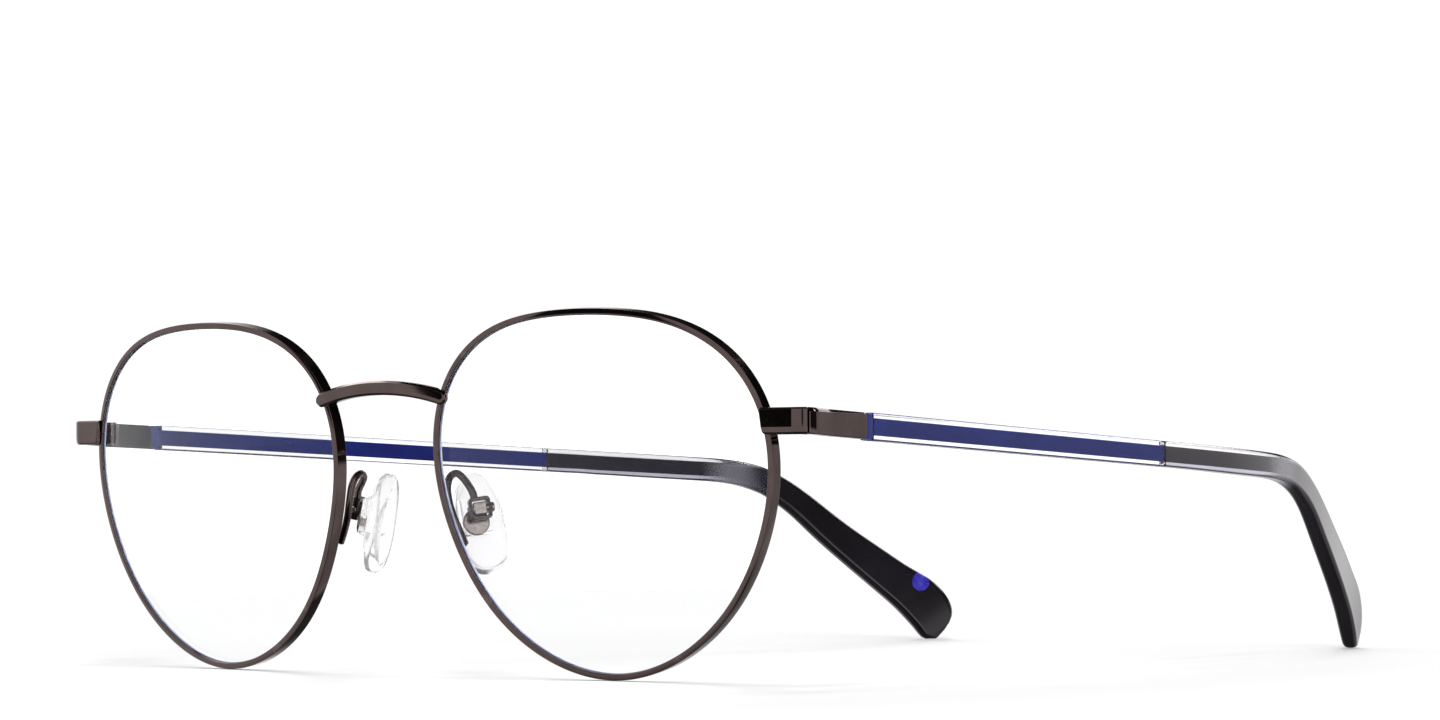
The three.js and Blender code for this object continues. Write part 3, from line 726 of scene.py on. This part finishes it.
def tip_ring_at(s, inset=0.0, hole=False):
    yb, zb, yt, zt, t = [float(g(s)) for g in fits]
    zb, zt = max(zb, 0.02), max(zt, 0.02)
    ym = (yb + yt) / 2
    a = lineDir(min(ym, 150))
    pb, pt = np.array([lineX(yb), yb, zb]), np.array([lineX(yt), yt, zt])
    A = pt - pb
    h = float(np.linalg.norm(A))
    A = A / max(h, 1e-6)
    B = np.array([-math.sin(a), math.cos(a), 0.0])
    soft = 0.36 + 0.5 * min(1.0, max(0.0, (ym - 104) / 18))
    q = rrect(h - 2 * inset, t - 2 * inset, min(soft, 0.46 * h, 0.46 * t) - 0.5 * inset, 7)
    thin = (2.45 - t) / 2 * min(1.0, max(0.0, (yb - 139) / 1.5))
    return (pb + pt) / 2 + q[:, :1] * A + (q[:, 1:] + t / 2 + thin) * B


S = arc[-1]
ts = [0.15 * (1 - math.cos(x)) for x in np.linspace(0, math.pi / 2, 4)]
ti = [0.15 * (1 - math.sin(x)) for x in np.linspace(0, math.pi / 2, 4)]
tip_rings = [tip_ring_at(s, i) for s, i in zip(ts, ti)] + [tip_ring_at(s) for s in np.linspace(0.6, S - 0.02, 130)]


def core_hole(y):
    o, A, B = line_frame(y, SLEEVE_T / 2)
    q = rrect(CORE_H - 0.02, CORE_T - 0.02, 0.15, 7)
    return o + q[:, :1] * A + q[:, 1:] * B


hole_rings = [core_hole(y) for y in list(np.linspace(116.48, 82, 34)) + [tip_ring_at(0.0)[:, 1].mean()]]
tv, tf = skin(tip_rings)
m = tip_rings[0].shape[0]
hv, hf = skin(hole_rings)
hf = hf[:-1]                      # open at the mouth
tf = [q for q in tf if q != tuple(range(m))]
n0 = len(tv)
tv = np.concatenate([tv, hv])
tf = tf + [tuple(i + n0 for i in q) for q in hf]
last = n0 + (len(hole_rings) - 1) * m
tf += [(a, (a + 1) % m, last + (a + 1) % m, last + a) for a in range(m)]

inlayY = 143.0
inlayP = np.array([lineX(inlayY), inlayY, 8.4])
ia = lineDir(inlayY)
inlayN = np.array([-math.sin(ia), math.cos(ia), 0.0])
pocket = lathe_part(inlayP, inlayN, [0, 0, 1], [(1.42, 1.9), (1.42, 4.0)], 48)
outer_v, outer_f = skin(tip_rings)
tv, tf = cut(tv, tf, (pocket[0], pocket[1], "DIFFERENCE"))
pair("ear_tip", tv, tf, M_TIP, "temple", "tip", "tip_sleeve", angle=34)
plug = lathe_part(inlayP, inlayN, [0, 0, 1], [(1.3, 1.99), (1.37, 2.05), (1.37, 3.4)], 56)
iv, if_ = cut(plug[0], plug[1], (outer_v, outer_f, "INTERSECT"))
pair("tip_inlay_disc", iv, if_, M_INLAY, "temple", "inlay", "tip_inlay", angle=40)

# ------------------------------------------------------------------ nose pads
PL = unit([-0.248, -0.008, 0.969])
PM = np.array([0.472, 0.873, 0.128]); PM = unit(PM - (PM @ PL) * PL)
PN = np.cross(PL, PM)
PC = np.array([8.95, 7.6, 18.3])
padAt = lambda l, m_, n: PC + l * PL + m_ * PM + n * PN
BC = (1.1, -0.5)


def pad_outline(k, n=72):
    t = np.linspace(0, 2 * math.pi, n, endpoint=False)
    c, s = np.cos(t), np.sin(t)
    l = 6.2 * np.sign(c) * np.abs(c) ** 0.92
    return l * (k * 0.985 + 0.015), 3.1 * np.sign(s) * np.abs(s) ** 0.85 * (1 - 0.018 * l) * k


prof = []
for t in np.linspace(-1, 1, 25):
    z = math.sin(t * math.pi / 2)
    edge_k = 1 - 0.11 * abs(z) ** 3.2
    prof.append((1.05 * z, edge_k))
prof = [(-1.06, 0.30), (-1.06, 0.62), (-1.055, 0.80)] + prof + [(1.07, 0.74), (1.10, 0.5), (1.12, 0.25)]
rings = []
for n_, k_ in prof:
    l, m_ = pad_outline(k_)
    rings.append(PC + l[:, None] * PL + m_[:, None] * PM + n_ * PN)
padV, padF = skin(rings)
bossV, bossF = box_part(padAt(0.75, -0.75, -1.42), PL, PM, PN, 2.3, 1.8, 0.63, 0.3, 5)
capAt = padAt(-0.1, -0.95, 0)
padV, padF = cut(padV, padF, (bossV, bossF, "UNION"))


def pad_anchor(g):
    """Cap, stem and flange of the metal insert, as one turned outline; g widens it into the silicone's pocket."""
    top = -3.0 if g else -2.3
    prof_ = [(1.62 + g, top), (1.62 + g, -1.98 + g), (0.6 + g, -1.98 + g), (0.6 + g, -1.35 - g), (1.15 + g, -1.35 - g), (1.15 + g, -1.05 + g)]
    if not g:
        prof_ = [(1.35, top), (1.52, top + 0.02), (1.6, top + 0.09), (1.62, top + 0.2)] + prof_[1:]
    return lathe_part(capAt, PN, PL, prof_, 56)


pocket_v, pocket_f = pad_anchor(0.03)
padV, padF = cut(padV, padF, (pocket_v, pocket_f, "DIFFERENCE"))
pads = pair("silicone_pad", padV, padF, M_PAD, "pad", "nose_pad", "nose_pad", angle=42, weighted=False)

disc = pad_anchor(0)
lug = box_part(padAt(BC[0] + 0.2, BC[1], -2.805), PL, PM, PN, 0.76, 0.82, 0.705, 0.16, 4)
dv, df = cut(disc[0], disc[1], (lug[0], lug[1], "UNION"))
pair("pad_anchor_cap", dv, df, M_INSERT, "pad", "pad_insert", "pad_insert", angle=34)

BOXH = (1.36, 1.3, 0.55)
boxC = padAt(BC[0] + 0.2, BC[1], -3.15)


def frame_ring(w, n_):
    q0, q1 = rrect(2 * BOXH[0], 2 * BOXH[1], 0.46, 6), rrect(1.88, 1.96, 0.3, 6)
    q = q0 * (1 - w) + q1 * w
    return boxC + q[:, :1] * PL + q[:, 1:] * PM + n_ * PN


loop = []
for cx, cy, ph in ((0.34, 0.38, 180), (0.66, 0.38, 90), (0.66, -0.38, 0), (0.34, -0.38, 270)):
    for t in np.linspace(0, 90, 6):
        g = (ph - t) * RAD
        loop.append((cx + 0.34 * math.cos(g), cy + 0.17 * math.sin(g)))
fv, ff_ = skin([frame_ring(w, n_) for w, n_ in loop], closed=True)
bore = lathe_part(boxC, PM, PL, [(0.41, -3), (0.41, 3)], 32)
fv, ff_ = cut(fv, ff_, (bore[0], bore[1], "DIFFERENCE"))
pair("pad_box_frame", fv, ff_, M_GUN_FINE, "front", "gunmetal", "pad_box", angle=34)

shank = lathe_part(boxC, PM, PL, [(0.24, -1.52), (0.33, -1.44), (0.34, -1.38), (0.34, 1.36), (0.34, 1.4), (0.5, 1.38), (0.58, 1.41), (0.6, 1.48), (0.58, 1.62), (0.5, 1.7), (0.3, 1.74)], 40)
slot_ = box_part(boxC + 1.82 * PM, PL, PM, PN, 1.0, 0.2, 0.1)
scv, scf = cut(shank[0], shank[1], (slot_[0], slot_[1], "DIFFERENCE"))
pair("pad_screw_fine", scv, scf, M_STEEL, "front", "screw_steel", "pad_screw", angle=34)


def centripetal(points, n):
    P = [np.array(p, float) for p in points]
    P = [2 * P[0] - P[1]] + P + [2 * P[-1] - P[-2]]
    out = []
    for i in range(1, len(P) - 2):
        p0, p1, p2, p3 = P[i - 1:i + 3]
        t0 = 0.0
        t1 = t0 + np.linalg.norm(p1 - p0) ** 0.5
        t2 = t1 + np.linalg.norm(p2 - p1) ** 0.5
        t3 = t2 + np.linalg.norm(p3 - p2) ** 0.5
        for t in np.linspace(t1, t2, n, endpoint=False):
            a1 = (t1 - t) / (t1 - t0) * p0 + (t - t0) / (t1 - t0) * p1
            a2 = (t2 - t) / (t2 - t1) * p1 + (t - t1) / (t2 - t1) * p2
            a3 = (t3 - t) / (t3 - t2) * p2 + (t - t2) / (t3 - t2) * p3
            b1 = (t2 - t) / (t2 - t0) * a1 + (t - t0) / (t2 - t0) * a2
            b2 = (t3 - t) / (t3 - t1) * a2 + (t - t1) / (t3 - t1) * a3
            out.append((t2 - t) / (t2 - t1) * b1 + (t - t1) / (t2 - t1) * b2)
    out.append(P[-2])
    return np.array(out)


def wire_part(points, r, n=9, sides=22):
    C = centripetal(points, n)
    T = np.gradient(C, axis=0)
    T /= np.linalg.norm(T, axis=1, keepdims=True)
    N = unit(np.cross(T[0], [0.3, 0.9, 0.2]))
    rings = []
    t = np.linspace(0, 2 * math.pi, sides, endpoint=False)
    L = np.concatenate([[0], np.cumsum(np.linalg.norm(np.diff(C, axis=0), axis=1))])
    for i in range(len(C)):
        N = unit(N - (N @ T[i]) * T[i])
        Bn = np.cross(T[i], N)
        d = min(L[i], L[-1] - L[i])
        k = math.sqrt(max(0.08, 1 - (1 - min(1, d / (0.5 * r))) ** 2))
        rings.append(C[i] + r * k * (np.cos(t)[:, None] * N + np.sin(t)[:, None] * Bn))
    return skin(rings)


G = 0.08
armEnd = padAt(BC[0] + 0.2 + BOXH[0] - 0.3, -0.95, -3.15)
armPre = padAt(BC[0] + 0.2 + BOXH[0] + 0.85, -1.1, -3.2)
av, af = wire_part([[11.35, 2.98, 15.75], [10.42, 2.88, 17.5], [9.62, 2.66, 19.2], [9.02, 2.46, 21.2], [8.7, 2.58, 22.95], [8.6, 3.2, 24.05], [8.68, 4.05, 24.35], [8.92, 4.72, 23.95], armPre, armEnd], 0.46)
pair("pad_arm_wire", av, af, M_GUN, "front", "gunmetal", "pad_arm", angle=40)

# ------------------------------------------------------------------ carried-over CAD nodes: small parts behind the endpieces
for name, ob in frame["nodes"].items():
    if ob.hide_render:
        continue
    mat = M_STEEL if "screw" in name else M_GUN_FINE
    ob.data.materials.clear() if not ob.material_slots else None
    if not ob.material_slots:
        ob.data.materials.append(mat)
    for s_ in ob.material_slots:
        s_.link = "OBJECT"
        s_.material = mat
    b = ob.modifiers.new("Bevel", "BEVEL")
    b.width, b.segments, b.limit_method, b.angle_limit = 0.00006, 3, "ANGLE", 35 * RAD
    b.harden_normals = False
    w = ob.modifiers.new("WeightedNormal", "WEIGHTED_NORMAL")
    w.keep_sharp = True

# ------------------------------------------------------------------ floor, world, lights, camera
bm = bmesh.new()
bmesh.ops.create_circle(bm, cap_ends=True, radius=0.42, segments=96)
me = bpy.data.meshes.new("studio_floor")
bm.to_mesh(me)
bm.free()
floor = bpy.data.objects.new("studio_floor", me)
floor.location = (0, 0, -0.00006)
bpy.context.scene.collection.objects.link(floor)
fm = Mat("floor_white", Roughness=0.9)
fm.b.inputs["Specular IOR Level"].default_value = 0.0
fm.link(fm.mix(fm.remap(fm.noise(30, 2), 0.3, 0.7, 0, 1), (0.835, 0.835, 0.835, 1), (0.845, 0.845, 0.845, 1)), fm.b.inputs["Base Color"])
me.materials.append(fm.m)
floor.visible_glossy = False
floor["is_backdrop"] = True

world = bpy.data.worlds.new("studio")
bpy.context.scene.world = world
world.use_nodes = True
nt = world.node_tree
nt.nodes.clear()


def W(kind, **props):
    n = nt.nodes.new(kind)
    for k, v in props.items():
        setattr(n, k, v)
    return n


def wm(op, a, b=0.0, clamp=False):
    n = W("ShaderNodeMath", operation=op, use_clamp=clamp)
    for s_, v in ((n.inputs[0], a), (n.inputs[1], b)):
        if isinstance(v, (int, float)):
            s_.default_value = v
        else:
            nt.links.new(v, s_)
    return n.outputs[0]


def ramp(v, a, b, lo=0.0, hi=1.0):
    n = W("ShaderNodeMapRange", interpolation_type="SMOOTHSTEP")
    for k, q in (("From Min", a), ("From Max", b), ("To Min", lo), ("To Max", hi)):
        n.inputs[k].default_value = q
    nt.links.new(v, n.inputs["Value"])
    return n.outputs[0]


def band(v, a, b, soft):
    return wm("MULTIPLY", ramp(v, a - soft, a + soft), ramp(v, b - soft, b + soft, 1.0, 0.0))


sep = W("ShaderNodeSeparateXYZ")
nt.links.new(W("ShaderNodeTexCoord").outputs["Generated"], sep.inputs[0])
X, Y, Z = sep.outputs
az = wm("MULTIPLY", wm("ARCTAN2", X, wm("MULTIPLY", Y, -1.0)), 180 / math.pi)      # 0 front, 90 wearer's left, -90 right
el = wm("MULTIPLY", wm("ARCSINE", Z), 180 / math.pi)
absaz = wm("ABSOLUTE", az)
level = wm("MAXIMUM", ramp(el, -40, -14, 0.12, 1.0), wm("MULTIPLY", band(az, 112, 168, 5), ramp(el, -58, -44, 0.12, 0.85)))
left_side = band(az, -132, -62, 5)
behind = ramp(absaz, 118, 126)
open_front = ramp(el, 41.0, 43.5, 1.0, 0.0)
open_back = ramp(el, 12.0, 17.0, 1.0, 0.0)
ceiling = wm("ADD", wm("MULTIPLY", open_front, wm("SUBTRACT", 1.0, behind)), wm("MULTIPLY", open_back, behind))
ceiling = wm("MAXIMUM", ceiling, wm("MULTIPLY", left_side, ramp(el, 49.0, 51.0, 1.0, 0.0)))
strip_back = wm("MULTIPLY", wm("MAXIMUM", ramp(az, 163, 166), ramp(az, -162, -158, 1.0, 0.0)), band(el, 24, 30, 1.0))
patch_high = wm("MULTIPLY", band(az, 152, 176, 2), band(el, 45, 49.5, 1.0))
strip_left = wm("MULTIPLY", left_side, band(el, 33, 45, 1.5))
shelf_left = wm("MULTIPLY", left_side, band(el, 45, 49, 1.0))
back_panel = wm("MULTIPLY", ramp(absaz, 164, 175), ramp(el, -14, -8))
side_strip = wm("MULTIPLY", band(az, 70, 79, 1), band(el, -40, 30, 2))
level = wm("MULTIPLY", level, wm("SUBTRACT", 1.0, wm("MULTIPLY", band(absaz, 138, 163, 3), 0.28)))
level = wm("ADD", level, wm("MULTIPLY", back_panel, 1.0))
level = wm("ADD", level, wm("MULTIPLY", side_strip, 1.6))
level = wm("ADD", level, wm("MULTIPLY", strip_left, 4.5))
level = wm("ADD", level, wm("MULTIPLY", shelf_left, 0.7))
level = wm("MULTIPLY", level, wm("MAXIMUM", ceiling, 0.03))
level = wm("ADD", level, wm("MULTIPLY", strip_back, 5.5))
level = wm("ADD", level, wm("MULTIPLY", patch_high, 6.5))
for mask, depth in (
        (wm("MULTIPLY", band(az, -41, -22, 0.8), band(el, -3, 33, 1.0)), 0.97),      # front, seen in bridge and near endpiece
        (wm("MULTIPLY", band(az, 81, 134, 2), band(el, -5, 34, 2)), 0.95),          # side, seen in the corner of the temple
        (wm("MULTIPLY", band(az, 39, 48, 1.0), band(el, 0, 9, 1.0)), 0.92),         # where the camera stands
        (wm("MULTIPLY", band(az, -14, 68, 3), band(el, -60, -22, 2)), 0.95)):       # dark table edge in front
    level = wm("MULTIPLY", level, wm("SUBTRACT", 1.0, wm("MULTIPLY", mask, depth)))
lp = W("ShaderNodeLightPath")
through = wm("MULTIPLY", lp.outputs["Is Transmission Ray"], wm("LESS_THAN", lp.outputs["Ray Depth"], 4.5))
plain_ = wm("MAXIMUM", lp.outputs["Is Camera Ray"], through)
diffuse_ = wm("SUBTRACT", 1.03, wm("MULTIPLY", lp.outputs["Is Diffuse Ray"], 0.75))
strength = wm("ADD", wm("ADD", wm("MULTIPLY", lp.outputs["Is Camera Ray"], 1.06), wm("MULTIPLY", through, 1.3)), wm("MULTIPLY", wm("SUBTRACT", 1.0, plain_), wm("MULTIPLY", level, diffuse_)))
bg = W("ShaderNodeBackground")
bg.inputs["Color"].default_value = (1, 1, 1, 1)
nt.links.new(strength, bg.inputs["Strength"])
nt.links.new(bg.outputs[0], W("ShaderNodeOutputWorld").inputs[0])


for i, (t, power) in enumerate(((-60, 1.1), (-32, 0.74), (0, 0.64), (32, 0.74), (60, 1.1))):
    d = bpy.data.lights.new(f"soft_key_{i}", "SUN")
    d.energy, d.angle = power, (9 + abs(t) / 6) * RAD
    o = bpy.data.objects.new(f"soft_key_{i}", d)
    depth_axis = Vector((-0.682, 0.731, 0.0))
    aim = (depth_axis * math.sin(t * RAD) + Vector((0, 0, -math.cos(t * RAD))))
    o.rotation_euler = aim.to_track_quat("-Z", "Y").to_euler()
    o.location = (0, 0, 0.5)
    o.visible_glossy = o.visible_transmission = o.visible_camera = False
    bpy.context.scene.collection.objects.link(o)

cam = bpy.data.cameras.new("camera")
cam.sensor_fit, cam.sensor_width, cam.lens = "HORIZONTAL", 36.0, 127.87
cam.clip_start, cam.clip_end = 0.01, 50.0
camo = bpy.data.objects.new("camera", cam)
fw = Vector((-0.68167694, 0.73126447, 0.02385023)).normalized()
right = Vector((0.7313565, 0.68196669, -0.00625365)).normalized()
up = right.cross(fw).normalized()
R = Matrix((right, up, -fw)).transposed().to_4x4()
camo.matrix_world = Matrix.Translation(Vector((449.880, -423.398 + SHIFT_Y, 23.074)) * 1e-3) @ R
bpy.context.scene.collection.objects.link(camo)
bpy.context.scene.camera = camo
bpy.context.scene.view_settings.view_transform = "Standard"
bpy.context.scene.view_settings.look = "None"

plain_box = lambda b: [[float(c) for c in p] for p in b]
{"cad": plain_box(BOX_CAD), "visual": plain_box(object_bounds())}
